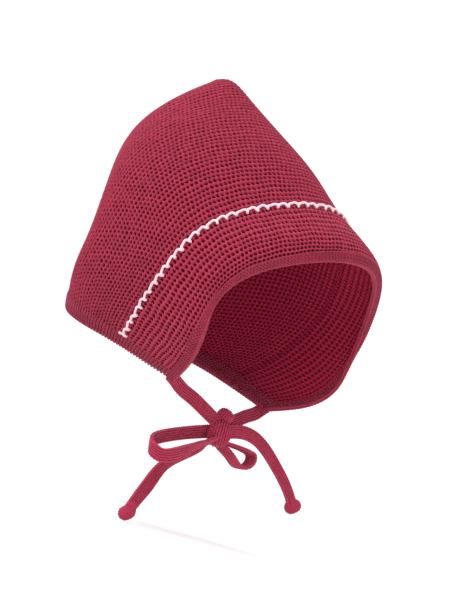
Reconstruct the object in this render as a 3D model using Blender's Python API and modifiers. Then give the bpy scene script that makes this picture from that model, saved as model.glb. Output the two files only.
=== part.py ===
"""Knitted pixie bonnet for a baby, tied in a bow under the chin.

Metres, +Z up. The face opening looks toward -Y, the wearer's left side is +X, and the cap is the same on
both sides of X = 0. The origin is where the top of the head sits inside the crown.

The cap is one rectangle of knitted cloth: its long side runs along the face opening, its short side from
there to the seam at the back. A place on it is given by two shares: back, from 0 at the face opening to
1 at the seam, and level, from 0 at the neck edge to 1 on the fold over the top.
"""

import math
from collections import namedtuple

import bmesh
import bpy
import numpy as np
from mathutils import Vector

# Size of the cap, measured from the middle between its two chin corners
HALF_WIDTH = 0.075
REACH_BACK = 0.119
PEAK_HEIGHT = 0.195
SEAT_BACK = 0.030
SEAT_HEIGHT = 0.130

# Cloth
CLOTH_DEPTH = 0.176
PANEL_DEPTH = 0.044
WALL = 0.0024
EDGING_WIDTH = 0.0065
EDGING_THICKNESS = 0.0034
BAND_HEIGHT = 0.0125
BAND_THICKNESS = 0.0042
BAND_PROUD = 0.0008
EDGING_PROUD = 0.0004
EDGE_ROUNDING = 0.3
GAP = 0.0003

# Ties and bow
TIE_WIDTH = 0.0085
TIE_THICKNESS = 0.0024
TIE_FROM_SIDE = 0.0032
TIE_FROM_BAND = 0.0032
TIE_INTO_KNOT = 0.0037
TIE_ABOVE_KNOT = 0.0062
KNOT_FORWARD = 0.0095
KNOT_DROP = 0.0217
KNOT_WIDTH = 0.0125
KNOT_DEPTH = 0.0115
KNOT_HEIGHT = 0.0165
LOBE_ASIDE = 0.0012
LOBE_RISE = 0.0110
LOBE_WIDTH = 0.0105
LOBE_DEPTH = 0.0089
LOBE_HEIGHT = 0.0095
BOW_REACH = 0.0600
END_KNOT_WIDTH = 0.0092
END_KNOT_HEIGHT = 0.0110

# Faces along and across each piece, and round and along a lump
CROWN_FACES = (17, 22)
PANEL_FACES = (6, 28)
EDGING_FACES = (2, 30)
BAND_FACES = (24, 3)
TIE_FACES = 10
BAND_CORNERS = 8
LOOP_FACES = 26
END_FACES = 16
LUMP_FACES = (14, 9)
ROUNDING_FACES = 2

# How square the section of a tie band is: across its width, and over its edges
BAND_FLATNESS = 0.45
EDGE_FULLNESS = 0.75

CLOTH_COLOUR = (0.36, 0.035, 0.075, 1.0)
TIE_COLOUR = (0.38, 0.04, 0.085, 1.0)

# Corners sharper than these stay sharp in the shading, or are rounded on a proud edge
SHARP_ANGLE = math.radians(50)
ROUNDED_ANGLE = math.radians(60)
# The two halves of the cap join within this distance of the middle
JOIN_WITHIN = 0.0001
# Shares of the cloth within which slopes are measured, and above which a place is on the fold or seam
SLOPE_STEP = 0.01
ON_MIDDLE = 0.9999
# The band is never higher than this share of the arch
BAND_SEARCH = 0.4

# Arches of the cap. Side is a share of HALF_WIDTH, forward of REACH_BACK, up of PEAK_HEIGHT, and the
# crest lies on the middle plane, so it has no side.
Arch = namedtuple("Arch", "back neck jaw ear temple crest")
ARCHES = (
    Arch(0.00, (0.60, 0.02, 0.00), (0.81, 0.19, 0.055), (0.95, 0.31, 0.21), (0.70, 0.46, 0.38), (0.67, 0.485)),
    Arch(0.05, (0.63, -0.04, 0.01), (0.83, 0.14, 0.065), (0.97, 0.30, 0.23), (0.75, 0.47, 0.41), (0.66, 0.51)),
    Arch(0.25, (0.68, -0.34, 0.06), (0.85, -0.22, 0.13), (1.00, 0.00, 0.32), (0.75, 0.19, 0.52), (0.40, 0.63)),
    Arch(0.45, (0.71, -0.55, 0.09), (0.87, -0.47, 0.17), (0.99, -0.31, 0.35), (0.79, -0.14, 0.62), (0.15, 0.75)),
    Arch(0.65, (0.65, -0.75, 0.12), (0.81, -0.70, 0.22), (0.91, -0.61, 0.38), (0.74, -0.44, 0.70), (-0.13, 0.86)),
    Arch(0.85, (0.45, -0.91, 0.16), (0.51, -0.87, 0.26), (0.53, -0.82, 0.43), (0.49, -0.74, 0.78), (-0.39, 0.962)),
    Arch(0.95, (0.19, -0.99, 0.18), (0.21, -0.96, 0.28), (0.21, -0.94, 0.45), (0.20, -0.89, 0.81), (-0.52, 0.998)),
    Arch(1.00, (0.00, -1.02, 0.18), (0.00, -0.99, 0.28), (0.00, -0.97, 0.45), (0.00, -0.93, 0.82), (-0.60, 0.995)),
)
ARCH_LEVELS = (0.0, 0.13, 0.38, 0.70, 1.0)

# Soft hollows pressed into both sides of the cap. Depth is a share of HALF_WIDTH, spans are shares of
# the cloth.
Dent = namedtuple("Dent", "back level back_span level_span depth")
DENTS = (
    Dent(0.56, 0.52, 0.10, 0.16, 0.030),
    Dent(0.80, 0.80, 0.07, 0.10, 0.035),
    Dent(0.16, 0.16, 0.07, 0.08, 0.020),
)

# The tie bands from the chin corners to the knot. Along is a share of the way, sag is in thicknesses of
# the band, and wide is the direction in which it lies flat, on the wearer's left side.
Rest = namedtuple("Rest", "along sag wide")
TIE_RESTS = (
    Rest(0.00, 0.0, (-0.4, 0.8, 0.4)),
    Rest(0.16, 0.8, (-0.4, 0.6, 0.7)),
    Rest(0.40, 0.0, (-0.4, 0.4, 0.85)),
    Rest(0.70, 0.0, (-0.4, 0.2, 0.9)),
    Rest(1.00, 0.0, (-0.4, -0.1, 0.9)),
)

# Routes of the loops and ends of the bow. Side, forward and up are shares of BOW_REACH from the middle
# of the knot, and wide is the direction in which the band lies flat.
Turn = namedtuple("Turn", "side forward up wide")
LOOP_RIGHT = (
    Turn(-0.05, -0.05, 0.01, (0.0, 0.2, 1.0)),
    Turn(-0.22, -0.09, -0.04, (0.0, 0.2, 1.0)),
    Turn(-0.43, -0.11, -0.10, (0.0, 0.2, 1.0)),
    Turn(-0.67, -0.10, -0.17, (0.0, 0.1, 1.0)),
    Turn(-0.88, -0.05, -0.24, (-0.1, 0.0, 1.0)),
    Turn(-0.97, 0.04, -0.31, (-0.2, -0.1, 1.0)),
    Turn(-0.92, 0.13, -0.36, (-0.2, -0.2, 1.0)),
    Turn(-0.76, 0.16, -0.32, (0.0, -0.1, 1.0)),
    Turn(-0.52, 0.14, -0.22, (0.0, 0.4, 0.8)),
    Turn(-0.27, 0.09, -0.12, (0.0, 0.8, 0.6)),
    Turn(-0.08, 0.05, -0.06, (0.0, 0.7, 0.7)),
)
LOOP_LEFT = (
    Turn(0.03, 0.02, -0.10, (0.0, 1.0, 0.1)),
    Turn(0.09, 0.08, -0.15, (0.0, 1.0, 0.1)),
    Turn(0.15, 0.12, -0.20, (0.0, 1.0, 0.1)),
    Turn(0.23, 0.14, -0.25, (0.0, 1.0, 0.1)),
    Turn(0.33, 0.15, -0.25, (0.0, 1.0, 0.1)),
    Turn(0.41, 0.15, -0.19, (0.0, 1.0, 0.1)),
    Turn(0.42, 0.14, -0.12, (0.0, 1.0, 0.1)),
    Turn(0.37, 0.12, -0.09, (0.0, 1.0, 0.1)),
    Turn(0.25, 0.08, -0.075, (0.0, 1.0, 0.1)),
    Turn(0.08, 0.02, -0.07, (0.0, 1.0, 0.1)),
)
END_RIGHT = (
    Turn(-0.02, -0.05, -0.09, (-0.2, 1.0, 0.0)),
    Turn(-0.13, -0.10, -0.18, (-0.4, 0.3, 0.8)),
    Turn(-0.31, -0.10, -0.28, (-0.5, 0.2, 0.8)),
    Turn(-0.49, -0.10, -0.39, (-0.7, 0.2, 0.7)),
    Turn(-0.61, -0.11, -0.52, (-0.8, -0.1, 0.5)),
    Turn(-0.68, -0.13, -0.68, (-0.9, -0.4, 0.3)),
    Turn(-0.74, -0.16, -0.83, (-0.9, -0.2, 0.1)),
    Turn(-0.79, -0.19, -0.98, (-0.9, -0.1, 0.1)),
)
END_LEFT = (
    Turn(0.03, 0.07, 0.04, (0.0, 0.0, 1.0)),
    Turn(0.19, 0.12, 0.08, (0.0, -0.1, 1.0)),
    Turn(0.37, 0.17, 0.06, (0.2, -0.2, 1.0)),
    Turn(0.54, 0.22, -0.03, (0.5, -0.1, 0.8)),
    Turn(0.69, 0.27, -0.15, (0.6, -0.1, 0.7)),
    Turn(0.83, 0.32, -0.28, (0.7, -0.1, 0.7)),
    Turn(0.93, 0.35, -0.39, (0.7, -0.1, 0.6)),
    Turn(1.01, 0.37, -0.49, (0.7, -0.1, 0.6)),
)


def clear_scene():
    for old in list(bpy.data.objects):
        bpy.data.objects.remove(old, do_unlink=True)


def collection(name):
    made = bpy.data.collections.new(name)
    bpy.context.scene.collection.children.link(made)
    return made


def knit_material(name, colour):
    material = bpy.data.materials.new(name)
    material.use_nodes = True
    shader = material.node_tree.nodes["Principled BSDF"]
    shader.inputs["Base Color"].default_value = colour
    shader.inputs["Roughness"].default_value = 0.85
    shader.inputs["Metallic"].default_value = 0.0
    return material


def place(side, forward, up):
    """A place measured from the middle between the chin corners, in the frame of the part."""
    return Vector((side, -(forward + SEAT_BACK), up - SEAT_HEIGHT))


def spline(knots, values, at):
    """Natural cubic spline through the values, read at one place."""
    knots = np.asarray(knots, float)
    values = np.asarray(values, float)
    count = len(knots)
    step = np.diff(knots)
    slope = np.diff(values, axis=0) / step[:, None]
    matrix = np.eye(count)
    right = np.zeros_like(values)
    for i in range(1, count - 1):
        matrix[i, i - 1 : i + 2] = step[i - 1], 2 * (step[i - 1] + step[i]), step[i]
        right[i] = 6 * (slope[i] - slope[i - 1])
    bend = np.linalg.solve(matrix, right)
    i = int(np.clip(np.searchsorted(knots, at) - 1, 0, count - 2))
    past = at - knots[i]
    left = knots[i + 1] - at
    curved = (bend[i] * left**3 + bend[i + 1] * past**3) / (6 * step[i])
    straight = (values[i] * left + values[i + 1] * past) / step[i]
    return curved + straight - step[i] / 6 * (bend[i] * left + bend[i + 1] * past)


def arch_at(back):
    """The five places that shape the arch at this share of the cloth's depth."""
    rows = [[*arch.neck, *arch.jaw, *arch.ear, *arch.temple, 0.0, *arch.crest] for arch in ARCHES]
    shares = spline([arch.back for arch in ARCHES], rows, back).reshape(5, 3)
    return shares * (HALF_WIDTH, REACH_BACK, PEAK_HEIGHT)


def smooth_point(back, level):
    """A place on the cap before its dents. The arch runs on over the fold, so that the fold is round."""
    arch = arch_at(back)
    over_fold = arch[-2::-1] * (-1, 1, 1)
    levels = [*ARCH_LEVELS, *(2 - known for known in ARCH_LEVELS[-2::-1])]
    side, forward, up = spline(levels, [*arch, *over_fold], level)
    return place(max(side, 0.0), forward, up)


def outward(back, level):
    """The way out of the cloth. On the fold and the seam it stays in the middle plane."""
    behind = smooth_point(min(back + SLOPE_STEP, 1.0), level)
    ahead = smooth_point(max(back - SLOPE_STEP, 0.0), level)
    above = smooth_point(back, min(level + SLOPE_STEP, 1.0))
    below = smooth_point(back, max(level - SLOPE_STEP, 0.0))
    way = (behind - ahead).cross(above - below)
    if max(back, level) > ON_MIDDLE:
        way.x = 0.0
    return way.normalized()


def cap_point(back, level, inward=0.0):
    """A place on the wearer's left half of the cap, this far in from its outside."""
    depth = inward
    for dent in DENTS:
        away = ((back - dent.back) / dent.back_span) ** 2 + ((level - dent.level) / dent.level_span) ** 2
        depth += dent.depth * HALF_WIDTH * math.exp(-away)
    point = smooth_point(back, level) - outward(back, level) * depth
    point.x = 0.0 if max(back, level) > ON_MIDDLE else max(point.x, GAP)
    return point


def level_at_height(back, height):
    """The level that lies this far up the arch from the neck edge, along the cloth."""
    levels = np.arange(0.0, BAND_SEARCH, SLOPE_STEP)
    points = [smooth_point(back, level) for level in levels]
    lengths = [0.0]
    for before, after in zip(points, points[1:]):
        lengths.append(lengths[-1] + (after - before).length)
    return float(np.interp(height, lengths, levels))


def depth_share(distance):
    return distance / CLOTH_DEPTH


def add_mesh(name, shape, into, material):
    mesh = bpy.data.meshes.new(name)
    shape.to_mesh(mesh)
    shape.free()
    made = bpy.data.objects.new(name, mesh)
    into.objects.link(made)
    if material:
        mesh.materials.append(material)
        mesh.shade_smooth()
        mesh.set_sharp_from_angle(angle=SHARP_ANGLE)
    else:
        made.hide_render = True
        made.display_type = "WIRE"
    return made


def add_wall(name, backs, levels, faces, thickness, into, material, proud=0.0):
    """A knitted wall of the cap between two depths. levels gives its lower and upper level at a depth.

    One that stands proud of the cloth is firmer, and its edges are rounded.
    """
    shape = bmesh.new()
    outside = []
    inside = []
    for i in range(faces[0] + 1):
        back = backs[0] + (backs[1] - backs[0]) * i / faces[0]
        low, high = levels(back)
        row = [low + (high - low) * j / faces[1] for j in range(faces[1] + 1)]
        outside.append([shape.verts.new(cap_point(back, level, -proud)) for level in row])
        inside.append([shape.verts.new(cap_point(back, level, thickness - proud)) for level in row])
    for i in range(faces[0]):
        for j in range(faces[1]):
            quad = [(i, j), (i + 1, j), (i + 1, j + 1), (i, j + 1)]
            shape.faces.new([outside[m][n] for m, n in quad])
            shape.faces.new([inside[m][n] for m, n in reversed(quad)])
    rims = [[(0, j) for j in range(faces[1] + 1)], [(i, 0) for i in range(faces[0], -1, -1)]]
    if backs[1] < 1.0:
        rims.append([(faces[0], j) for j in range(faces[1], -1, -1)])
    if levels(backs[0])[1] < 1.0:
        rims.append([(i, faces[1]) for i in range(faces[0] + 1)])
    for rim in rims:
        for (i, j), (m, n) in zip(rim, rim[1:]):
            shape.faces.new((outside[i][j], outside[m][n], inside[m][n], inside[i][j]))
    made = add_mesh(name, shape, into, material)
    mirror = made.modifiers.new("both sides", "MIRROR")
    mirror.merge_threshold = JOIN_WITHIN
    if proud:
        rounded = made.modifiers.new("rounded edge", "BEVEL")
        rounded.width = thickness * EDGE_ROUNDING
        rounded.segments = ROUNDING_FACES
        rounded.limit_method = "ANGLE"
        rounded.angle_limit = ROUNDED_ANGLE
    return made


def above_band(back):
    return level_at_height(back, BAND_HEIGHT + GAP), 1.0


def whole_arch(_back):
    return 0.0, 1.0


def within_band(back):
    return 0.0, level_at_height(back, BAND_HEIGHT)


def add_cap(into, material):
    edging = depth_share(EDGING_WIDTH)
    stitch = depth_share(PANEL_DEPTH)
    gap = depth_share(GAP)
    add_wall("crown", (stitch + gap, 1.0), above_band, CROWN_FACES, WALL, into, material)
    add_wall("front_panel", (edging + gap, stitch), above_band, PANEL_FACES, WALL, into, material)
    add_wall(
        "face_edging", (0.0, edging), whole_arch, EDGING_FACES, EDGING_THICKNESS, into, material,
        proud=EDGING_PROUD,
    )
    add_wall(
        "neck_band", (edging + gap, 1.0), within_band, BAND_FACES, BAND_THICKNESS, into, material,
        proud=BAND_PROUD,
    )


def add_lump(name, centre, size, into, material, grown=0.0):
    """A rounded lump of wound band. A grown one is a cutter that leaves a gap round the real one."""
    shape = bmesh.new()
    bmesh.ops.create_uvsphere(shape, u_segments=LUMP_FACES[0], v_segments=LUMP_FACES[1], radius=0.5)
    for corner in shape.verts:
        corner.co = centre + Vector([c * (s + 2 * grown) for c, s in zip(corner.co, size)])
    return add_mesh(name, shape, into, material)


def band_section(here, wide, thick):
    """The corners of a flat band with rounded edges, at one place on its route."""
    ring = []
    for j in range(BAND_CORNERS):
        turn = 2 * math.pi * (j + 0.5) / BAND_CORNERS
        out = math.copysign(abs(math.cos(turn)) ** BAND_FLATNESS, math.cos(turn)) * TIE_WIDTH / 2
        off = math.copysign(abs(math.sin(turn)) ** EDGE_FULLNESS, math.sin(turn)) * TIE_THICKNESS / 2
        ring.append(here + wide * out + thick * off)
    return ring


def add_band(name, route, faces, into, material, cutters):
    """A knitted tie band swept along its route and cut clear of the knots."""
    knots = np.linspace(0.0, 1.0, len(route))
    points = [list(point) for point, _wide in route]
    wides = [list(wide) for _point, wide in route]
    shape = bmesh.new()
    rings = []
    for at in np.linspace(0.0, 1.0, faces + 1):
        before = Vector(spline(knots, points, max(at - SLOPE_STEP, 0.0)))
        after = Vector(spline(knots, points, min(at + SLOPE_STEP, 1.0)))
        along = (after - before).normalized()
        wide = Vector(spline(knots, wides, at))
        wide = (wide - wide.project(along)).normalized()
        section = band_section(Vector(spline(knots, points, at)), wide, along.cross(wide))
        rings.append([shape.verts.new(corner) for corner in section])
    for before, after in zip(rings, rings[1:]):
        for j in range(BAND_CORNERS):
            k = (j + 1) % BAND_CORNERS
            shape.faces.new((before[j], before[k], after[k], after[j]))
    shape.faces.new(reversed(rings[0]))
    shape.faces.new(rings[-1])
    bmesh.ops.recalc_face_normals(shape, faces=shape.faces)
    made = add_mesh(name, shape, into, material)
    for cutter in cutters:
        cut = made.modifiers.new("clear of " + cutter.name, "BOOLEAN")
        cut.operation = "DIFFERENCE"
        cut.object = cutter
    return made


def knot_place(side=0.0, up=0.0):
    return place(side, KNOT_FORWARD, up - KNOT_DROP)


def from_knot(turns):
    route = []
    for turn in turns:
        offset = Vector((turn.side, -turn.forward, turn.up)) * BOW_REACH
        wide = Vector((turn.wide[0], -turn.wide[1], turn.wide[2]))
        route.append((knot_place() + offset, wide))
    return route


def tie_route(side):
    """From under a chin corner of the cap straight to the top of the knot."""
    corner = cap_point(depth_share(EDGING_WIDTH), 0.0)
    start = Vector((
        side * (corner.x - TIE_FROM_SIDE),
        corner.y - TIE_FROM_BAND,
        corner.z - TIE_THICKNESS / 2 - GAP,
    ))
    knot = knot_place(side * TIE_INTO_KNOT, TIE_ABOVE_KNOT)
    route = []
    for rest in TIE_RESTS:
        sag = Vector((0.0, 0.0, -rest.sag * TIE_THICKNESS))
        wide = Vector((side * rest.wide[0], side * rest.wide[1], rest.wide[2]))
        route.append((start + (knot - start) * rest.along + sag, wide))
    return route


def add_bow(into, cutting, material):
    knot_size = (KNOT_WIDTH, KNOT_DEPTH, KNOT_HEIGHT)
    lobe = knot_place(LOBE_ASIDE, LOBE_RISE)
    lobe_size = (LOBE_WIDTH, LOBE_DEPTH, LOBE_HEIGHT)
    body = add_lump("bow_knot", knot_place(), knot_size, into, material)
    lump = add_lump("knot_lobe", lobe, lobe_size, cutting, None)
    union = body.modifiers.new("lump above", "BOOLEAN")
    union.operation = "UNION"
    union.object = lump
    clear = [
        add_lump("clear_knot", knot_place(), knot_size, cutting, None, GAP),
        add_lump("clear_lobe", lobe, lobe_size, cutting, None, GAP),
    ]
    for side, sign, loop, end in (("right", -1, LOOP_RIGHT, END_RIGHT), ("left", 1, LOOP_LEFT, END_LEFT)):
        add_band("tie_" + side, tie_route(sign), TIE_FACES, into, material, clear)
        add_band("bow_loop_" + side, from_knot(loop), LOOP_FACES, into, material, clear)
        route = from_knot(end)
        tip = route[-1][0]
        tip_size = (END_KNOT_WIDTH, END_KNOT_WIDTH, END_KNOT_HEIGHT)
        add_lump("end_knot_" + side, tip, tip_size, into, material)
        clear_tip = add_lump("clear_tip_" + side, tip, tip_size, cutting, None, GAP)
        add_band("tie_end_" + side, route, END_FACES, into, material, [*clear, clear_tip])


clear_scene()
bonnet = collection("baby bonnet")
cutting_shapes = collection("cutting shapes")
add_cap(bonnet, knit_material("knitted cloth", CLOTH_COLOUR))
add_bow(bonnet, cutting_shapes, knit_material("knitted tie band", TIE_COLOUR))
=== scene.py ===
"""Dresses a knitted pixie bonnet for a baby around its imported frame: cloth, yarn, bands and bow."""

import math

import bmesh
import bpy
import numpy as np
from mathutils import Matrix, Vector


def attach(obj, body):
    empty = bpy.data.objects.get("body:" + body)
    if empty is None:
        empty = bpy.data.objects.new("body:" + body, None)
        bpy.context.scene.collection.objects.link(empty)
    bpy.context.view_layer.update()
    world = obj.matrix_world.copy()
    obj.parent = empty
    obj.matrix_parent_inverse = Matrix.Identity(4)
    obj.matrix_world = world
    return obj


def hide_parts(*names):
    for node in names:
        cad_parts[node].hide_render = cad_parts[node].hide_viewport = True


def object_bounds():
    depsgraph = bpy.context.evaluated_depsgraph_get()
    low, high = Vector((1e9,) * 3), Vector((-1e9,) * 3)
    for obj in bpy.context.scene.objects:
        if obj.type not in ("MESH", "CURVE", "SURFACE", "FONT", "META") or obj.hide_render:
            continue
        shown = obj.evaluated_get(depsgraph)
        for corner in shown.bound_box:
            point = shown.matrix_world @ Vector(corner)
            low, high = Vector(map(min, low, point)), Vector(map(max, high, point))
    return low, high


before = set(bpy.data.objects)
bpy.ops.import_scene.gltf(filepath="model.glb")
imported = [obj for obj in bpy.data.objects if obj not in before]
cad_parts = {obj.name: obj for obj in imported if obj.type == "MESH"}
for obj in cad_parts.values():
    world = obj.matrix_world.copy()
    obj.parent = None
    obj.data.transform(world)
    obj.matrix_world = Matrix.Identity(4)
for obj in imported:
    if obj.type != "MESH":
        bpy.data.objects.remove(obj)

cad_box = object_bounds()


# ---- Studio: the bonnet stands on its tie ends on a white table, under one wide soft lamp above it and
# a white room. The camera is low, beside the wearer's right cheek, and tilted.
VIEW_TURN = math.radians(-50)
VIEW_RISE = math.radians(-5)
VIEW_ROLL = math.radians(16)
VIEW_CENTRE = Vector((-0.0110, -0.0246, -0.0735))
VIEW_DISTANCE = 1.2
LENS = 120
TABLE_SIZE = 30.0
TABLE_DROP = 0.0006
TABLE_WHITE = (0.97, 0.97, 0.97, 1.0)
TABLE_ROUGHNESS = 0.9
ROOM_LIGHT = 1.12
LAMP_POWER = 14.0
LAMP_SIZE = 1.6
LAMP_PLACE = Vector((-0.60, -0.02, 0.88))


def placed(name, data):
    """A new object that holds this data, linked to the scene."""
    made = bpy.data.objects.new(name, data)
    bpy.context.scene.collection.objects.link(made)
    return made


back = Vector((
    math.sin(VIEW_TURN) * math.cos(VIEW_RISE),
    -math.cos(VIEW_TURN) * math.cos(VIEW_RISE),
    math.sin(VIEW_RISE),
))
level_right = Vector((math.cos(VIEW_TURN), math.sin(VIEW_TURN), 0.0))
level_up = back.cross(level_right)
right = level_right * math.cos(VIEW_ROLL) + level_up * math.sin(VIEW_ROLL)
camera_data = bpy.data.cameras.new("camera")
camera_data.lens = LENS
camera = placed("camera", camera_data)
turn = Matrix((right, back.cross(right), back)).transposed().to_4x4()
camera.matrix_world = Matrix.Translation(VIEW_CENTRE + back * VIEW_DISTANCE) @ turn
bpy.context.scene.camera = camera

bpy.context.scene.view_settings.view_transform = "Standard"
room = bpy.data.worlds.new("white room")
room.use_nodes = True
room.node_tree.nodes["Background"].inputs["Color"].default_value = (1.0, 1.0, 1.0, 1.0)
room.node_tree.nodes["Background"].inputs["Strength"].default_value = ROOM_LIGHT
bpy.context.scene.world = room
lamp_data = bpy.data.lights.new("wide lamp", "AREA")
lamp_data.energy = LAMP_POWER
lamp_data.size = LAMP_SIZE
lamp = placed("wide lamp", lamp_data)
aim = (VIEW_CENTRE - LAMP_PLACE).to_track_quat("-Z", "Y").to_matrix().to_4x4()
lamp.matrix_world = Matrix.Translation(LAMP_PLACE) @ aim

white = bpy.data.materials.new("white table")
white.use_nodes = True
shader = white.node_tree.nodes["Principled BSDF"]
shader.inputs["Base Color"].default_value = TABLE_WHITE
shader.inputs["Roughness"].default_value = TABLE_ROUGHNESS
table_mesh = bpy.data.meshes.new("table")
floor_level = cad_box[0][2] - TABLE_DROP
corners = [(x * TABLE_SIZE, y * TABLE_SIZE, floor_level) for x, y in ((-1, -1), (1, -1), (1, 1), (-1, 1))]
table_mesh.from_pydata(corners, [], [(0, 1, 2, 3)])
table_mesh.materials.append(white)
table = placed("table", table_mesh)


# ---- Crown: the back of the bonnet, one piece of open wool knitting folded over the head. Its plump
# stitches leave a small round hole between each two rows, staggered from row to row, and a thin cloth
# under them stands for the inner side of the same knitting. The hole walls and the cloth's outside, seen
# through the holes, are of darker wool: painted shade.
HALF_WIDTH = 0.075
REACH_BACK = 0.119
PEAK_HEIGHT = 0.195
SEAT_BACK = 0.030
SEAT_HEIGHT = 0.130
CLOTH_DEPTH = 0.176
PANEL_DEPTH = 0.044
BAND_HEIGHT = 0.0125
TUCKED_IN = 0.0015
GAP = 0.0003
CROWN_RED = (0.275, 0.0180, 0.047)
# Painted shade: the dark wool deep in the holes, on the cloth seen through them and on the edging's core
HOLE_SHADE_RED = (0.15, 0.0010, 0.009)
INSIDE_HOLE_SHADE_RED = (0.13, 0.0022, 0.010)
INSIDE_RED = (0.39, 0.0150, 0.056)

# The knitting is a fine sheet. How open it is runs from -1.8 on the yarn to 3.5 in the middle of a hole:
# it sinks from HOLE_RIM on, is of shadowed wool, which is painted shade, from SHADOW_FROM on, and is cut
# away from HOLE_FLOOR on.
STITCH_PITCH = 0.00250
ROW_PITCH = 0.00325
ARCH_LENGTH = 0.328
STEPS_EACH_WAY = 6
YARN_DEPTH = 0.0001
HOLE_DEPTH = 0.0017
HOLE_RIM = -1.4
HOLE_FLOOR = 1.9
SHADOW_FROM = 0.5
ROW_WEIGHT = 1.5
BULGE = 0.00018
BULGE_SHIFT = 0.6
# Stitches drift from their even places in waves, in radians for each stitch and for each row
UNEVEN = 0.07
DRIFT_WAVES = ((0.9, 0.7), (0.31, -1.3))
# Into how many places an arch is divided where lengths along it are measured
ARCH_PLACES = 201
# The thin cloth under the knitting, and the holes of its inner side: pits in its shape and painted shade in
# its colour
CLOTH_OUTSIDE = 0.0018
CLOTH_INSIDE = 0.0021
PIT_DEPTH = 0.0006
PURL_SCALE = 0.12
PURL_EDGES = (0.54, 0.86)
PURL_BUMP = 0.8
PURL_BUMP_DEPTH = 0.0005

# Arches of the cap. Side is a share of HALF_WIDTH, forward of REACH_BACK, up of PEAK_HEIGHT, and the
# crest lies on the middle plane, so it has no side.
ARCHES = (
    # back, neck, jaw, ear, temple, crest
    (0.00, (0.60, 0.02, 0.00), (0.81, 0.19, 0.055), (0.95, 0.31, 0.21), (0.70, 0.46, 0.38), (0.67, 0.485)),
    (0.05, (0.63, -0.04, 0.01), (0.83, 0.14, 0.065), (0.97, 0.30, 0.23), (0.75, 0.47, 0.41), (0.66, 0.51)),
    (0.25, (0.68, -0.34, 0.06), (0.85, -0.22, 0.13), (1.00, 0.00, 0.32), (0.75, 0.19, 0.52), (0.40, 0.63)),
    (0.45, (0.71, -0.55, 0.09), (0.87, -0.47, 0.17), (0.99, -0.31, 0.35), (0.79, -0.14, 0.62), (0.15, 0.75)),
    (0.65, (0.65, -0.75, 0.12), (0.81, -0.70, 0.22), (0.91, -0.61, 0.38), (0.74, -0.44, 0.70), (-0.13, 0.86)),
    (0.85, (0.45, -0.91, 0.16), (0.51, -0.87, 0.26), (0.53, -0.82, 0.43), (0.49, -0.74, 0.78), (-0.39, 0.962)),
    (0.95, (0.19, -0.99, 0.18), (0.21, -0.96, 0.28), (0.21, -0.94, 0.45), (0.20, -0.89, 0.81), (-0.52, 0.998)),
    (1.00, (0.00, -1.02, 0.18), (0.00, -0.99, 0.28), (0.00, -0.97, 0.45), (0.00, -0.93, 0.82), (-0.60, 0.995)),
)
ARCH_LEVELS = np.array((0.0, 0.13, 0.38, 0.70, 1.0))
# Soft hollows pressed into both sides. Spans are shares of the cloth, depth is a share of HALF_WIDTH.
DENTS = (
    # back, level, back span, level span, depth
    (0.56, 0.52, 0.10, 0.16, 0.030),
    (0.80, 0.80, 0.07, 0.10, 0.035),
    (0.16, 0.16, 0.07, 0.08, 0.020),
)


def spline_weights(knots, at):
    """Rows of weights that read a natural cubic spline through values at the knots."""
    count = len(knots)
    step = np.diff(knots)
    matrix = np.eye(count)
    right_side = np.zeros((count, count))
    for i in range(1, count - 1):
        matrix[i, i - 1 : i + 2] = step[i - 1], 2 * (step[i - 1] + step[i]), step[i]
        right_side[i, i - 1 : i + 2] = 6 / step[i - 1], -6 / step[i - 1] - 6 / step[i], 6 / step[i]
    bend = np.linalg.solve(matrix, right_side)
    i = np.clip(np.searchsorted(knots, at) - 1, 0, count - 2)
    past = (at - knots[i])[:, None]
    left = (knots[i + 1] - at)[:, None]
    wide = step[i][:, None]
    each = np.eye(count)
    from_left = bend[i] * (left**3 / (6 * wide) - wide * left / 6)
    from_right = bend[i + 1] * (past**3 / (6 * wide) - wide * past / 6)
    return from_left + from_right + each[i] * (left / wide) + each[i + 1] * (past / wide)


ARCH_BACKS = np.array([arch[0] for arch in ARCHES])
ARCH_TABLE = np.array([(*arch[1:-1], (0.0, *arch[-1])) for arch in ARCHES])
OVER_FOLD = np.concatenate([ARCH_TABLE, ARCH_TABLE[:, -2::-1] * (-1, 1, 1)], 1)
OVER_LEVELS = np.concatenate([ARCH_LEVELS, 2 - ARCH_LEVELS[-2::-1]])


def smooth_points(backs, levels):
    """Places on the wearer's left half of the cap before its dents."""
    backs, levels = np.broadcast_arrays(np.asarray(backs, float), np.asarray(levels, float))
    across = spline_weights(ARCH_BACKS, backs.ravel())
    along = spline_weights(OVER_LEVELS, levels.ravel())
    shares = np.einsum("nb,nl,blk->nk", across, along, OVER_FOLD)
    x = np.maximum(shares[:, 0], 0.0) * HALF_WIDTH
    y = -(shares[:, 1] * REACH_BACK + SEAT_BACK)
    z = shares[:, 2] * PEAK_HEIGHT - SEAT_HEIGHT
    return np.stack([x, y, z], -1).reshape(*backs.shape, 3)


def unit(ways):
    return ways / np.maximum(np.linalg.norm(ways, axis=-1, keepdims=True), 1e-12)


# Shares of the cloth within which slopes are measured, and above which a place is on the fold or seam
SLOPE_STEP = 0.01
ON_MIDDLE = 0.9999


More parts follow.
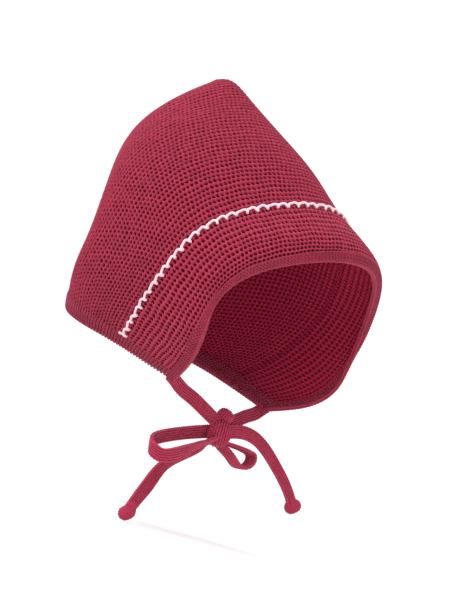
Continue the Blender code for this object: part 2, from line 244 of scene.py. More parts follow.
def cap_places(backs, levels):
    """(points, out, rearward, upward) on the outside of the wearer's left half."""
    backs, levels = np.broadcast_arrays(np.asarray(backs, float), np.asarray(levels, float))
    behind = smooth_points(np.minimum(backs + SLOPE_STEP, 1.0), levels)
    ahead = smooth_points(np.maximum(backs - SLOPE_STEP, 0.0), levels)
    above = smooth_points(backs, np.minimum(levels + SLOPE_STEP, 1.0))
    below = smooth_points(backs, np.maximum(levels - SLOPE_STEP, 0.0))
    rearward = unit(behind - ahead)
    upward = unit(above - below)
    out = np.cross(rearward, upward)
    out[..., 0] = np.where(np.maximum(backs, levels) > ON_MIDDLE, 0.0, out[..., 0])
    out = unit(out)
    depth = np.zeros(backs.shape)
    for back_at, level_at, back_span, level_span, dent in DENTS:
        away = ((backs - back_at) / back_span) ** 2 + ((levels - level_at) / level_span) ** 2
        depth += dent * HALF_WIDTH * np.exp(-away)
    return smooth_points(backs, levels) - out * depth[..., None], out, rearward, upward


def walked_along(points):
    """How far along their line these points are."""
    return np.concatenate([[0.0], np.cumsum(np.linalg.norm(np.diff(points, axis=0), axis=1))])


def read_along(at, walked, values):
    """Rows of values read at these distances along their line."""
    return np.stack([np.interp(at, walked, values[:, k]) for k in range(values.shape[1])], -1)


def levels_at(back_at, heights):
    """The levels that lie so far up the arch from the neck edge, and the length of the half arch."""
    levels = np.linspace(0.0, 1.0, ARCH_PLACES)
    walked = walked_along(smooth_points(back_at, levels))
    return np.interp(heights, walked, levels), walked[-1]


def arch_places(back_at, shares, foot):
    """Places evenly along a whole arch: share -1 is its right foot, 0 the fold, 1 its left foot."""
    _, length = levels_at(back_at, 0.0)
    levels, _ = levels_at(back_at, length - np.abs(shares) * (length - foot))
    side = np.where(shares < 0, -1.0, 1.0)[:, None] * (1, 0, 0) + (0, 1, 1)
    points, out, rearward, upward = cap_places(back_at, levels)
    return points * side, out * side, rearward * side, upward * side


DYE_SCALE = 170.0
DYE_EDGES = (0.30, 0.72)
FIBRE_SCALE = 2600.0
FIBRE_DEPTH = 0.0002
FUZZ_TINT = (1.0, 0.62, 0.72, 1.0)


def dull_finish(name, sheen, gloss):
    """Dull wool that has no colour yet: the finish, its tree and its shader."""
    finish = bpy.data.materials.new(name)
    finish.use_nodes = True
    shader = finish.node_tree.nodes["Principled BSDF"]
    shader.inputs["Roughness"].default_value = 0.88
    shader.inputs["Specular IOR Level"].default_value = gloss
    shader.inputs["Sheen Weight"].default_value = sheen
    shader.inputs["Sheen Roughness"].default_value = 0.45
    shader.inputs["Sheen Tint"].default_value = FUZZ_TINT
    return finish, finish.node_tree, shader


def wool(name, colour, mottle=0.16, bump=0.5, sheen=0.14, gloss=0.25):
    """Soft dull wool: uneven dye, paler fuzz at grazing angles and a bump of fine fibres."""
    finish, tree, shader = dull_finish(name, sheen, gloss)
    place = tree.nodes.new("ShaderNodeTexCoord")
    dye = tree.nodes.new("ShaderNodeTexNoise")
    dye.inputs["Scale"].default_value = DYE_SCALE
    dye.inputs["Detail"].default_value = 5.0
    dye.inputs["Roughness"].default_value = 0.65
    ramp = tree.nodes.new("ShaderNodeValToRGB")
    for element, position, share in zip(ramp.color_ramp.elements, DYE_EDGES, (1 - mottle, 1 + mottle)):
        element.position = position
        element.color = (*(min(part * share, 1.0) for part in colour), 1.0)
    fibres = tree.nodes.new("ShaderNodeTexNoise")
    fibres.inputs["Scale"].default_value = FIBRE_SCALE
    fibres.inputs["Detail"].default_value = 3.0
    raised = tree.nodes.new("ShaderNodeBump")
    raised.inputs["Strength"].default_value = bump
    raised.inputs["Distance"].default_value = FIBRE_DEPTH
    tree.links.new(place.outputs["Object"], dye.inputs["Vector"])
    tree.links.new(place.outputs["Object"], fibres.inputs["Vector"])
    tree.links.new(dye.outputs["Fac"], ramp.inputs["Fac"])
    tree.links.new(ramp.outputs["Color"], shader.inputs["Base Color"])
    tree.links.new(fibres.outputs["Fac"], raised.inputs["Height"])
    tree.links.new(raised.outputs["Normal"], shader.inputs["Normal"])
    return finish


def math_in(tree):
    """A function that adds a math node to this tree, from sockets or plain numbers, and gives its result."""

    def step(operation, one, other=0.0):
        node = tree.nodes.new("ShaderNodeMath")
        node.operation = operation
        for socket, value in zip(node.inputs, (one, other)):
            if isinstance(value, float):
                socket.default_value = value
            else:
                tree.links.new(value, socket)
        return node.outputs["Value"]

    return step


def wave(step, count):
    return step("COSINE", step("MULTIPLY", count, 2 * math.pi))


def openness(step, stitch, row, row_weight):
    """How open the knitting is at these counts of stitches and rows, with its holes in staggered rows."""
    half = step("MULTIPLY", row, 0.5)
    leaning = step("ADD", wave(step, step("ADD", stitch, half)), wave(step, step("SUBTRACT", stitch, half)))
    return step("ADD", leaning, step("MULTIPLY", wave(step, row), row_weight))


def purl_side(name, colour, hole_shade_colour):
    """The inner side of the knitting: round holes of painted shade, placed by the cloth's own map of stitches.
    """
    finish, tree, shader = dull_finish(name, sheen=0.03, gloss=0.10)
    count = tree.nodes.new("ShaderNodeUVMap")
    count.uv_map = "knit"
    apart = tree.nodes.new("ShaderNodeSeparateXYZ")
    tree.links.new(count.outputs["UV"], apart.inputs["Vector"])
    step = math_in(tree)
    holes = openness(step, apart.outputs["X"], apart.outputs["Y"], ROW_WEIGHT)
    # The holes are painted darker than the wool: painted shade
    shade = tree.nodes.new("ShaderNodeValToRGB")
    for element, position, dye in zip(shade.color_ramp.elements, PURL_EDGES, (colour, hole_shade_colour)):
        element.position = position
        element.color = (*dye, 1.0)
    tree.links.new(step("ADD", step("MULTIPLY", holes, PURL_SCALE), 0.5), shade.inputs["Fac"])
    relief = tree.nodes.new("ShaderNodeBump")
    relief.invert = True
    relief.inputs["Strength"].default_value = PURL_BUMP
    relief.inputs["Distance"].default_value = PURL_BUMP_DEPTH
    tree.links.new(holes, relief.inputs["Height"])
    tree.links.new(shade.outputs["Color"], shader.inputs["Base Color"])
    tree.links.new(relief.outputs["Normal"], shader.inputs["Normal"])
    return finish


def rows_between(backs):
    return round((backs[1] - backs[0]) * CLOTH_DEPTH / ROW_PITCH)


def quads_of(grid):
    """The faces between neighbours in a grid of corner numbers."""
    return np.stack([grid[:-1, :-1], grid[:-1, 1:], grid[1:, 1:], grid[1:, :-1]], -1).reshape(-1, 4)


def knitted_cloth(name, backs, finishes):
    """A closed thin cloth between two depths, whole arches over the head, with a pit inside at each hole."""
    shares = np.linspace(-1.0, 1.0, 2 * round(ARCH_LENGTH / STITCH_PITCH) + 1)
    depths = np.linspace(*backs, 2 * rows_between(backs) + 1)
    rows = len(depths)
    columns = len(shares)
    outside = []
    inside = []
    for row, back_at in enumerate(depths):
        points, out, _, _ = arch_places(back_at, shares, BAND_HEIGHT - TUCKED_IN)
        outside.append(points - out * CLOTH_OUTSIDE)
        on_hole = (row % 2 == 1) & ((np.arange(columns) + row // 2) % 2 == 0)
        pit = np.where(on_hole & (row < rows - 1), PIT_DEPTH, 0.0)
        inside.append(points - out * (CLOTH_INSIDE + PIT_DEPTH - pit)[:, None])
    each = rows * columns
    grid = np.arange(each).reshape(rows, columns)
    outer_quads = quads_of(grid)
    inner_quads = quads_of(grid + each)[:, [0, 3, 2, 1]]
    edges = [grid[0, ::-1], grid[:, 0], grid[::-1, -1]]
    if backs[1] < 1.0:
        edges.append(grid[-1])
    rims = [np.stack([line[:-1], line[1:], line[1:] + each, line[:-1] + each], 1) for line in edges]
    faces = np.concatenate([outer_quads, inner_quads, *rims])
    mesh = bpy.data.meshes.new(name)
    mesh.from_pydata(np.concatenate([*outside, *inside]).tolist(), [], faces.tolist())
    for finish in finishes:
        mesh.materials.append(finish)
    is_inner = np.zeros(len(faces), np.int32)
    is_inner[len(outer_quads) : len(outer_quads) + len(inner_quads)] = 1
    mesh.polygons.foreach_set("material_index", is_inner)
    mesh.shade_smooth()
    knit = mesh.uv_layers.new(name="knit")
    corner_of = np.empty(len(mesh.loops), np.int32)
    mesh.loops.foreach_get("vertex_index", corner_of)
    corner_of %= each
    uv = np.stack([corner_of % columns / 2, (corner_of // columns - 1) / 2], 1)
    knit.data.foreach_set("uv", uv.astype(np.float32).ravel())
    shape = bmesh.new()
    shape.from_mesh(mesh)
    bmesh.ops.remove_doubles(shape, verts=shape.verts, dist=1e-6)
    bmesh.ops.recalc_face_normals(shape, faces=shape.faces)
    shape.to_mesh(mesh)
    shape.free()
    return placed(name, mesh)


def new_tree(name, takes, sizes, gives):
    """A Geometry Nodes tree with these sockets, its input node and its output node."""
    tree = bpy.data.node_groups.new(name, "GeometryNodeTree")
    tree.interface.new_socket(takes, in_out="INPUT", socket_type="NodeSocketGeometry")
    for size, kind, value in sizes:
        socket = tree.interface.new_socket(size, in_out="INPUT", socket_type="NodeSocket" + kind)
        if value is not None:
            socket.default_value = value
    tree.interface.new_socket(gives, in_out="OUTPUT", socket_type="NodeSocketGeometry")
    return tree, tree.nodes.new("NodeGroupInput"), tree.nodes.new("NodeGroupOutput")


def read(tree, name, kind):
    """A named attribute of the points."""
    node = tree.nodes.new("GeometryNodeInputNamedAttribute")
    node.data_type = kind
    node.inputs["Name"].default_value = name
    return node.outputs["Attribute"]


def dyed_mesh(tree, geometry, finish):
    """The geometry shaded smooth, realized, and all of one finish."""
    smooth = tree.nodes.new("GeometryNodeSetShadeSmooth")
    tree.links.new(geometry, smooth.inputs["Geometry"])
    real = tree.nodes.new("GeometryNodeRealizeInstances")
    tree.links.new(smooth.outputs["Geometry"], real.inputs["Geometry"])
    dyed = tree.nodes.new("GeometryNodeSetMaterial")
    tree.links.new(real.outputs["Geometry"], dyed.inputs["Geometry"])
    tree.links.new(finish, dyed.inputs["Material"])
    return dyed.outputs["Geometry"]


def relief_tree():
    """Geometry Nodes: a fine sheet counted in stitches and rows bulges at its yarn and opens at its holes."""
    tree, given, made = new_tree("open knitting", "Sheet", (
        ("Hole depth", "Float", HOLE_DEPTH),
        ("Hole rim", "Float", HOLE_RIM),
        ("Hole floor", "Float", HOLE_FLOOR),
        ("Row weight", "Float", ROW_WEIGHT),
        ("Bulge", "Float", BULGE),
        ("Shadow from", "Float", SHADOW_FROM),
        ("Wool", "Material", None),
        ("Shadowed wool", "Material", None),
    ), "Knitting")
    links = tree.links
    step = math_in(tree)
    row = read(tree, "row", "FLOAT")
    opening = openness(step, read(tree, "stitch", "FLOAT"), row, given.outputs["Row weight"])

    def past(limit):
        node = tree.nodes.new("FunctionNodeCompare")
        node.data_type = "FLOAT"
        node.operation = "GREATER_THAN"
        links.new(opening, node.inputs["A"])
        links.new(given.outputs[limit], node.inputs["B"])
        return node.outputs["Result"]

    pit = tree.nodes.new("ShaderNodeMapRange")
    pit.interpolation_type = "SMOOTHSTEP"
    links.new(opening, pit.inputs["Value"])
    links.new(given.outputs["Hole rim"], pit.inputs["From Min"])
    links.new(given.outputs["Hole floor"], pit.inputs["From Max"])
    sunk = step("MULTIPLY", pit.outputs["Result"], given.outputs["Hole depth"])
    raised = step("MULTIPLY", wave(step, step("ADD", row, BULGE_SHIFT)), given.outputs["Bulge"])
    offset = tree.nodes.new("ShaderNodeVectorMath")
    offset.operation = "SCALE"
    links.new(read(tree, "out", "FLOAT_VECTOR"), offset.inputs[0])
    links.new(step("SUBTRACT", raised, sunk), offset.inputs["Scale"])
    moved = tree.nodes.new("GeometryNodeSetPosition")
    links.new(given.outputs["Sheet"], moved.inputs["Geometry"])
    links.new(offset.outputs["Vector"], moved.inputs["Offset"])
    opened = tree.nodes.new("GeometryNodeDeleteGeometry")
    opened.domain = "FACE"
    links.new(moved.outputs["Geometry"], opened.inputs["Geometry"])
    links.new(past("Hole floor"), opened.inputs["Selection"])
    # Faces deep in the holes get the darker wool: painted shade in the hole walls
    shadowed = tree.nodes.new("GeometryNodeSetMaterial")
    links.new(dyed_mesh(tree, opened.outputs["Geometry"], given.outputs["Wool"]), shadowed.inputs["Geometry"])
    links.new(past("Shadow from"), shadowed.inputs["Selection"])
    links.new(given.outputs["Shadowed wool"], shadowed.inputs["Material"])
    links.new(shadowed.outputs["Geometry"], made.inputs["Knitting"])
    return tree


def realized(name, mesh, tree, sizes):
    """The mesh after this tree, as an object without modifiers. sizes are inputs of the tree by name."""
    guide = placed(name + "_guide", mesh)
    work = guide.modifiers.new("work", "NODES")
    work.node_group = tree
    for socket in tree.interface.items_tree:
        if socket.name in sizes:
            work[socket.identifier] = sizes[socket.name]
    graph = bpy.context.evaluated_depsgraph_get()
    result = bpy.data.meshes.new_from_object(guide.evaluated_get(graph), depsgraph=graph)
    bpy.data.objects.remove(guide, do_unlink=True)
    for attribute in mesh.attributes:
        if not attribute.is_internal and not attribute.is_required and attribute.name in result.attributes:
            result.attributes.remove(result.attributes[attribute.name])
    bpy.data.meshes.remove(mesh)
    result.name = name
    return placed(name, result)


KNITTING = relief_tree()


def knitted_net(name, backs, first, count, finishes, sizes):
    """count rows of open knitting from row number first on. sizes are inputs of the tree by name."""
    pitch = (backs[1] - backs[0]) / rows_between(backs)
    shares = np.linspace(-1.0, 1.0, round(ARCH_LENGTH / STITCH_PITCH) * STEPS_EACH_WAY + 1)
    across = np.arange(len(shares)) / STEPS_EACH_WAY
    lines = []
    for step in range(count * STEPS_EACH_WAY + 1):
        row = first + step / STEPS_EACH_WAY
        points, out, _, _ = arch_places(backs[0] + row * pitch, shares, BAND_HEIGHT - TUCKED_IN)
        drift = sum(np.sin(by_stitch * across + by_row * row) for by_stitch, by_row in DRIFT_WAVES)
        rows_there = row + 0.5 + UNEVEN * drift[::-1]
        # The last half row has no holes, so that the knitting is closed at the seam
        if backs[0] + (row + 0.5) * pitch > 1.0:
            rows_there = np.full(len(shares), round(row) + 0.5)
        lines.append((points - out * YARN_DEPTH, out, across + UNEVEN * drift, rows_there))
    points, outs, stitch, row = (np.array(values) for values in zip(*lines))
    quads = quads_of(np.arange(stitch.size).reshape(stitch.shape))
    mesh = bpy.data.meshes.new(name + "_sheet")
    mesh.from_pydata(points.reshape(-1, 3).tolist(), [], quads.tolist())
    for key, kind, field, values in (
        ("stitch", "FLOAT", "value", stitch),
        ("row", "FLOAT", "value", row),
        ("out", "FLOAT_VECTOR", "vector", outs),
    ):
        mesh.attributes.new(key, kind, "POINT").data.foreach_set(field, values.astype(np.float32).ravel())
    return realized(name, mesh, KNITTING, {"Wool": finishes[0], "Shadowed wool": finishes[1], **sizes})


crown_wool = wool("crimson wool", CROWN_RED)
hole_shade_wool = wool("shadowed wool", HOLE_SHADE_RED, bump=0.2, sheen=0.0, gloss=0.03)
inside_wool = purl_side("inner side of the knitting", INSIDE_RED, INSIDE_HOLE_SHADE_RED)
crown_backs = ((PANEL_DEPTH + GAP) / CLOTH_DEPTH, 1.0)
# The cloth's outside, seen only through the holes, is of the wool with painted shade
crown_cloth = knitted_cloth("crown_cloth", crown_backs, (hole_shade_wool, inside_wool))
crown_rows = rows_between(crown_backs)
net_wools = (crown_wool, hole_shade_wool)
crown_nets = []
third = -(-crown_rows // 3)
for number, part in enumerate(("front", "middle", "back")):
    first = number * third
    count = min(third, crown_rows - first)
    crown_nets.append(knitted_net("crown_knit_" + part, crown_backs, first, count, net_wools, {}))

# The seam down the back draws both edges together in a small ridge of overcast stitches. Each stitch runs
# from its own edge up to the middle: so far aside, so far out and so thick at its points.
STITCH_POINTS = 4
SEAM_PITCH = 0.0026
SEAM_REACH = 0.9
SEAM_RADIUS = 0.0006
SEAM_SIDES = 5
SEAM_STOP = 0.012
SEAM_ASIDE = (0.0017, 0.0001)
SEAM_OUT = (-0.0013, -0.0006, -0.0003, -0.0007)
SEAM_THICK = (0.6, 1.0, 1.0, 0.6)


def yarn_tree():
    """Geometry Nodes: rows of points become round yarn, as thick as each point says."""
    tree, given, made = new_tree("yarn along rows", "Rows", (
        ("Yarn radius", "Float", SEAM_RADIUS),
        ("Sides", "Int", SEAM_SIDES),
        ("Wool", "Material", None),
    ), "Yarn")
    curves = tree.nodes.new("GeometryNodeMeshToCurve")
    tree.links.new(given.outputs["Rows"], curves.inputs["Mesh"])
    round_yarn = tree.nodes.new("GeometryNodeCurvePrimitiveCircle")
    tree.links.new(given.outputs["Sides"], round_yarn.inputs["Resolution"])
    tree.links.new(given.outputs["Yarn radius"], round_yarn.inputs["Radius"])
    swept = tree.nodes.new("GeometryNodeCurveToMesh")
    swept.inputs["Fill Caps"].default_value = True
    tree.links.new(curves.outputs["Curve"], swept.inputs["Curve"])
    tree.links.new(round_yarn.outputs["Curve"], swept.inputs["Profile Curve"])
    tree.links.new(read(tree, "thick", "FLOAT"), swept.inputs["Scale"])
    tree.links.new(dyed_mesh(tree, swept.outputs["Mesh"], given.outputs["Wool"]), made.inputs["Yarn"])
    return tree


YARN = yarn_tree()


class Row:
    """One row of yarn: its points and its thickness as a share of the yarn's."""

    def __init__(self, points, thick=1.0):
        self.points = np.asarray(points, float)
        self.thick = np.broadcast_to(thick, len(self.points))


def lay_yarn(name, rows, finish, radius, sides):
    """The rows as one mesh of yarn."""
    mesh = bpy.data.meshes.new(name)
    points = np.concatenate([row.points for row in rows])
    edges = []
    start = 0
    for row in rows:
        index = np.arange(start, start + len(row.points))
        edges.append(np.stack([index[:-1], index[1:]], 1))
        start += len(row.points)
    edges = np.concatenate(edges)
    mesh.vertices.add(len(points))
    mesh.vertices.foreach_set("co", points.astype(np.float32).ravel())
    mesh.edges.add(len(edges))
    mesh.edges.foreach_set("vertices", edges.astype(np.int32).ravel())
    thick = np.concatenate([row.thick for row in rows]).astype(np.float32)
    mesh.attributes.new("thick", "FLOAT", "POINT").data.foreach_set("value", thick)
    return realized(name, mesh, YARN, {"Wool": finish, "Yarn radius": radius, "Sides": sides})


seam_rows = []
_, seam_length = levels_at(1.0, 0.0)
for height in np.arange(BAND_HEIGHT, seam_length - SEAM_STOP, SEAM_PITCH):
    level, _ = levels_at(1.0, np.array([height, height + SEAM_PITCH * SEAM_REACH]))
    middle, way_out, _, _ = cap_places(1.0, level)
    line = middle[0] + (middle[1] - middle[0]) * np.linspace(0, 1, STITCH_POINTS)[:, None]
    line += way_out[0] * np.array(SEAM_OUT)[:, None]
    for side in (-1, 1):
        aside = np.linspace(*SEAM_ASIDE, STITCH_POINTS)[:, None] * (side, 0, 0)
        seam_rows.append(Row(line + aside, SEAM_THICK))
back_seam = lay_yarn("back_seam", seam_rows, crown_wool, SEAM_RADIUS, SEAM_SIDES)

for piece in (crown_cloth, *crown_nets, back_seam):
    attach(piece, "root")
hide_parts("crown")


# ---- Front panel: the same knitting carried on in front of the contrast stitch, round the face. It is
# knitted in one with the crown, a little closer, and goes into the edging.
EDGING_WIDTH = 0.0065
PANEL_HOLES = {"Hole rim": -0.9, "Hole floor": 2.3}
panel_backs = ((EDGING_WIDTH + GAP) / CLOTH_DEPTH, PANEL_DEPTH / CLOTH_DEPTH)
panel_rows = rows_between(panel_backs)
# The cloth's outside, seen only through the holes, is of the wool with painted shade
panel_cloth = knitted_cloth("panel_cloth", panel_backs, (hole_shade_wool, inside_wool))
panel_knit = knitted_net("panel_knit", panel_backs, 0, panel_rows, net_wools, PANEL_HOLES)
for piece in (panel_cloth, panel_knit):
    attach(piece, "root")
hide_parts("front_panel")


# ---- Contrast stitch: one thick strand of pinkish white yarn, sewn by hand over the line between crown
# and panel. It climbs in long slanting stretches, with a short hook back toward the face after each.
TRIM_RADIUS = 0.00086
TRIM_SIDES = 6
TRIM_PITCH = 0.0064
TRIM_UNEVEN = 0.12
TRIM_WAVES = (2.3, 1.7)
TRIM_FOOT = (0.0042, 0.0004)
TRIM_PINK = (0.78, 0.53, 0.58)
# Along is a share of TRIM_PITCH, rearward and out are in metres
TRIM_TOOTH = (
    # along, rearward, out
    (0.00, -0.0017, -0.0002),
    (0.05, -0.0009, 0.0006),
    (0.14, -0.0001, 0.0008),
    (0.35, 0.0004, 0.0007),
    (0.60, 0.0009, 0.0007),
    (0.82, 0.0010, 0.0008),
    (0.94, 0.0002, 0.0008),
    (0.99, -0.0008, 0.0006),
)


def trim_row():
    """The strand from one neck edge over the head to the other, with teeth that differ a little."""
    line_back = PANEL_DEPTH / CLOTH_DEPTH
    _, length = levels_at(line_back, 0.0)
    teeth = round(2 * (length - BAND_HEIGHT) / TRIM_PITCH)
    marks = [(0.0, *TRIM_FOOT)]
    for tooth in range(teeth):
        longer = 1 + TRIM_UNEVEN * math.sin(TRIM_WAVES[0] * tooth)
        deeper = 1 + 2 * TRIM_UNEVEN * math.sin(TRIM_WAVES[1] * tooth + 1)
        marks += [(tooth + along * longer, rearward * deeper, out) for along, rearward, out in TRIM_TOOTH]
    marks = np.array([*marks, (teeth, *TRIM_FOOT)])
    knots = np.linspace(0, 1, len(marks))
    fine = spline_weights(knots, np.linspace(0, 1, 2 * len(marks))) @ marks
    shares = np.clip(fine[:, 0] / teeth * 2 - 1, -1, 1)
    points, out, rearward, _ = arch_places(line_back, shares, BAND_HEIGHT)
    return Row(points + rearward * fine[:, 1:2] + out * fine[:, 2:3])


trim_wool = wool("pinkish white yarn", TRIM_PINK, mottle=0.08, bump=0.6, sheen=0.1)
contrast_stitch = lay_yarn("contrast_stitch", [trim_row()], trim_wool, TRIM_RADIUS, TRIM_SIDES)
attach(contrast_stitch, "root")


# ---- Edging: the face opening is finished with a firm narrow band, three columns of slanting stitches
# on both faces and one smooth rolled ridge on its very edge.
EDGING_THICKNESS = 0.0034
EDGING_PROUD = 0.0004
EDGING_STEPS = 260
EDGING_CORNERS = 12
CORE_INSET = 0.0005
SECTION_ROUNDING = 0.6
EDGE_RED = (0.26, 0.017, 0.044)
RIDGE_RED = (0.27, 0.018, 0.046)
# Each stitch has two legs, which lean apart from the middle of its column
EDGE_STITCH = 0.0021
EDGE_REACH = 1.05
EDGE_COLUMNS = (-0.0012, 0.0006, 0.0024)
EDGE_ASIDE = (0.0001, 0.00075)
EDGE_SUNK = 0.0006
EDGE_RISE = (-0.0002, 0.0002, 0.0003, 0.0)
EDGE_THICK = (0.7, 1.0, 1.0, 0.7)
EDGE_RADIUS = 0.00046
EDGE_SIDES = 4
# The ridge is two thick strands side by side
RIDGE_STEP = 0.0007
RIDGE_FORWARD = 0.0027
RIDGE_LEVELS = (-0.0008, 0.0006)
RIDGE_BEADS = 0.10
RIDGE_RADIUS = 0.00088
RIDGE_SIDES = 6


def rolled_core(name, rings, finish):
    """A closed mesh through ring sections, each an array of corners."""
    grid = np.arange(rings.shape[0] * rings.shape[1]).reshape(rings.shape[:2])
    faces = quads_of(np.hstack([grid, grid[:, :1]])).tolist()
    faces += [grid[0][::-1].tolist(), grid[-1].tolist()]
    mesh = bpy.data.meshes.new(name)
    mesh.from_pydata(rings.reshape(-1, 3).tolist(), [], faces)
    mesh.materials.append(finish)
    mesh.shade_smooth()
    shape = bmesh.new()
    shape.from_mesh(mesh)
    bmesh.ops.recalc_face_normals(shape, faces=shape.faces)
    shape.to_mesh(mesh)
    shape.free()
    return placed(name, mesh)


def squared(waves, rounding):
    """Waves from -1 to 1 with flatter tops, the more so the smaller the rounding."""
    return np.sign(waves) * np.abs(waves) ** rounding


def flat_sections(middle, wide, out, half_width, half_thickness, corners):
    """Rounded flat rings round the points of a line."""
    angles = 2 * math.pi * (np.arange(corners) + 0.5) / corners
    across = squared(np.cos(angles), SECTION_ROUNDING)[:, None] * half_width
    through = squared(np.sin(angles), SECTION_ROUNDING)[:, None] * half_thickness
    return middle[:, None] + wide[:, None] * across + out[:, None] * through


edge_wool = wool("edging wool", EDGE_RED)
ridge_wool = wool("rolled edge wool", RIDGE_RED)
shares = np.linspace(-1, 1, EDGING_STEPS)
edge_points, edge_out, edge_back, _ = arch_places(EDGING_WIDTH / CLOTH_DEPTH / 2, shares, 0.0)
edge_middle = edge_points + edge_out * (EDGING_PROUD - EDGING_THICKNESS / 2)
edge_halves = (EDGING_WIDTH / 2 - CORE_INSET, EDGING_THICKNESS / 2 - CORE_INSET)
edge_rings = flat_sections(edge_middle, edge_back, edge_out, *edge_halves, EDGING_CORNERS)
# The core between the stitches is of the wool with painted shade
edging_core = rolled_core("edging_core", edge_rings, hole_shade_wool)
edge_walked = walked_along(edge_middle)


def along_edge(at):
    """(middle, out, rearward) at so many metres along the edge from its right end."""
    return [read_along(at, edge_walked, ways) for ways in (edge_middle, edge_out, edge_back)]


edge_rows = []
for face_side in (1, -1):
    rise = face_side * (EDGING_THICKNESS / 2 - EDGE_SUNK + np.array(EDGE_RISE))
    for column in EDGE_COLUMNS:
        for start in np.arange(0.0, edge_walked[-1] - EDGE_STITCH, EDGE_STITCH):
            at = start + np.linspace(0, EDGE_REACH, STITCH_POINTS) * EDGE_STITCH
            middle, out, rearward = along_edge(at)
            for leg in (-1, 1):
                lean = column + leg * np.linspace(*EDGE_ASIDE, STITCH_POINTS)
                line = middle + rearward * lean[:, None] + out * rise[:, None]
                edge_rows.append(Row(line, EDGE_THICK))
edging_stitches = lay_yarn("edging_stitches", edge_rows, edge_wool, EDGE_RADIUS, EDGE_SIDES)
at = np.arange(0.0, edge_walked[-1], RIDGE_STEP)
middle, out, rearward = along_edge(at)
beads = 1 + RIDGE_BEADS * np.cos(2 * math.pi * at / EDGE_STITCH)
ridge_rows = [Row(middle - rearward * RIDGE_FORWARD + out * level, beads) for level in RIDGE_LEVELS]
edging_ridge = lay_yarn("edging_ridge", ridge_rows, ridge_wool, RIDGE_RADIUS, RIDGE_SIDES)
for piece in (edging_core, edging_stitches, edging_ridge):
    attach(piece, "root")
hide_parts("face_edging")


# ---- Neck band: a doubled rib folded at its lower edge, finer and firmer than the cloth that it gathers.
# Its ribs stand upright on both faces and run round the fold.
BAND_THICKNESS = 0.0042
BAND_PROUD = 0.0008
BAND_ROUNDING = 0.55
BAND_CORNERS = 20
BAND_PLACES = 400
RING_PLACES = 801
BAND_CORE_INSET = 0.0007
BAND_RED = (0.27, 0.020, 0.052)
GROOVE_SHADE_RED = (0.15, 0.0055, 0.019)
# Each stitch of a rib has two legs, which lean together toward its end
RIB_PITCH = 0.0026
RIB_INSET = 0.0005
BAND_STITCH = 0.0015
BAND_REACH = 1.15
BAND_START = 0.0006
BAND_ASIDE = (0.00055, 0.00030)
BAND_RISE = (-0.0004, 0.0001, 0.0002, -0.0002)
BAND_THICK = (0.6, 1.0, 1.0, 0.65)
BAND_RADIUS = 0.00050
BAND_SIDES = 4


def band_ring(back_at, turns, inset):
    """Places round the band's section. A turn of 0 is its top, a quarter is outside, half is the fold."""
    up = squared(np.cos(2 * math.pi * turns), BAND_ROUNDING)
    off = squared(np.sin(2 * math.pi * turns), BAND_ROUNDING)
    level, _ = levels_at(back_at, BAND_HEIGHT / 2 + up * (BAND_HEIGHT / 2 - inset))
    points, out, rearward, upward = cap_places(back_at, level)
    proud = BAND_PROUD - BAND_THICKNESS / 2 + off * (BAND_THICKNESS / 2 - inset)
    way = unit(up[:, None] * upward / (BAND_HEIGHT / 2) + off[:, None] * out / (BAND_THICKNESS / 2))
    return points + out * proud[:, None], way, rearward


# Ribs stand at even steps along the band, from the edging to the seam
depths = np.linspace((EDGING_WIDTH + GAP) / CLOTH_DEPTH, 1.0, BAND_PLACES)
half_up = np.array([BAND_HEIGHT / 2])
band_middle = np.array([smooth_points(depth, levels_at(depth, half_up)[0])[0] for depth in depths])
band_walked = walked_along(band_middle)
ribs = round(band_walked[-1] / RIB_PITCH)
rib_backs = np.interp((np.arange(ribs) + 0.5) * band_walked[-1] / ribs, band_walked, depths)
between_ribs = np.interp(np.linspace(0, band_walked[-1], ribs + 1), band_walked, depths)
core_turns = (np.arange(BAND_CORNERS) + 0.5) / BAND_CORNERS
core_rings = [band_ring(back_at, core_turns, BAND_CORE_INSET)[0] for back_at in between_ribs]
mirrored = [ring * (-1, 1, 1) for ring in core_rings[-2::-1]]
# The core shows only between the ribs and is dark there: painted shade in the grooves
groove_shade_wool = wool("painted shade in the grooves of the ribs", GROOVE_SHADE_RED, sheen=0.0)
neck_core = rolled_core("neck_band_core", np.array([*core_rings, *mirrored]), groove_shade_wool)

band_rows = []
for back_at in rib_backs:
    ring, ways, rearward = band_ring(back_at, np.linspace(0, 1, RING_PLACES), RIB_INSET)
    walked = walked_along(ring)
    start = BAND_START
    while start + BAND_STITCH < walked[-1] - BAND_START:
        at = start + np.linspace(0, BAND_REACH, STITCH_POINTS) * BAND_STITCH
        here, way, rear = (read_along(at, walked, values) for values in (ring, ways, rearward))
        for leg in (-1, 1):
            lean = leg * np.linspace(*BAND_ASIDE, STITCH_POINTS)
            line = here + rear * lean[:, None] + way * np.array(BAND_RISE)[:, None]
            for side in (1, -1):
                band_rows.append(Row(line * (side, 1, 1), BAND_THICK))
        start += BAND_STITCH
band_wool = wool("ribbed band wool", BAND_RED)
band_ribs = lay_yarn("neck_band_ribs", band_rows, band_wool, BAND_RADIUS, BAND_SIDES)
for piece in (neck_core, band_ribs):
    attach(piece, "root")
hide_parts("neck_band")


# ---- Tie bands and bow: narrow knitted straps with ribs along them on both faces. They come from under
# the chin corners, cross in a wound knot and end in two loops and two knotted tails.
TIE_WIDTH = 0.0085
TIE_THICKNESS = 0.0024
TIE_FROM_SIDE = 0.0052
TIE_FROM_BAND = 0.0048
TIE_INTO_KNOT = 0.0037
TIE_ABOVE_KNOT = 0.0062
KNOT_FORWARD = 0.0095
KNOT_DROP = 0.0217
BOW_REACH = 0.0600
SEWN_IN = 0.0055
TIE_RED = (0.37, 0.027, 0.069)
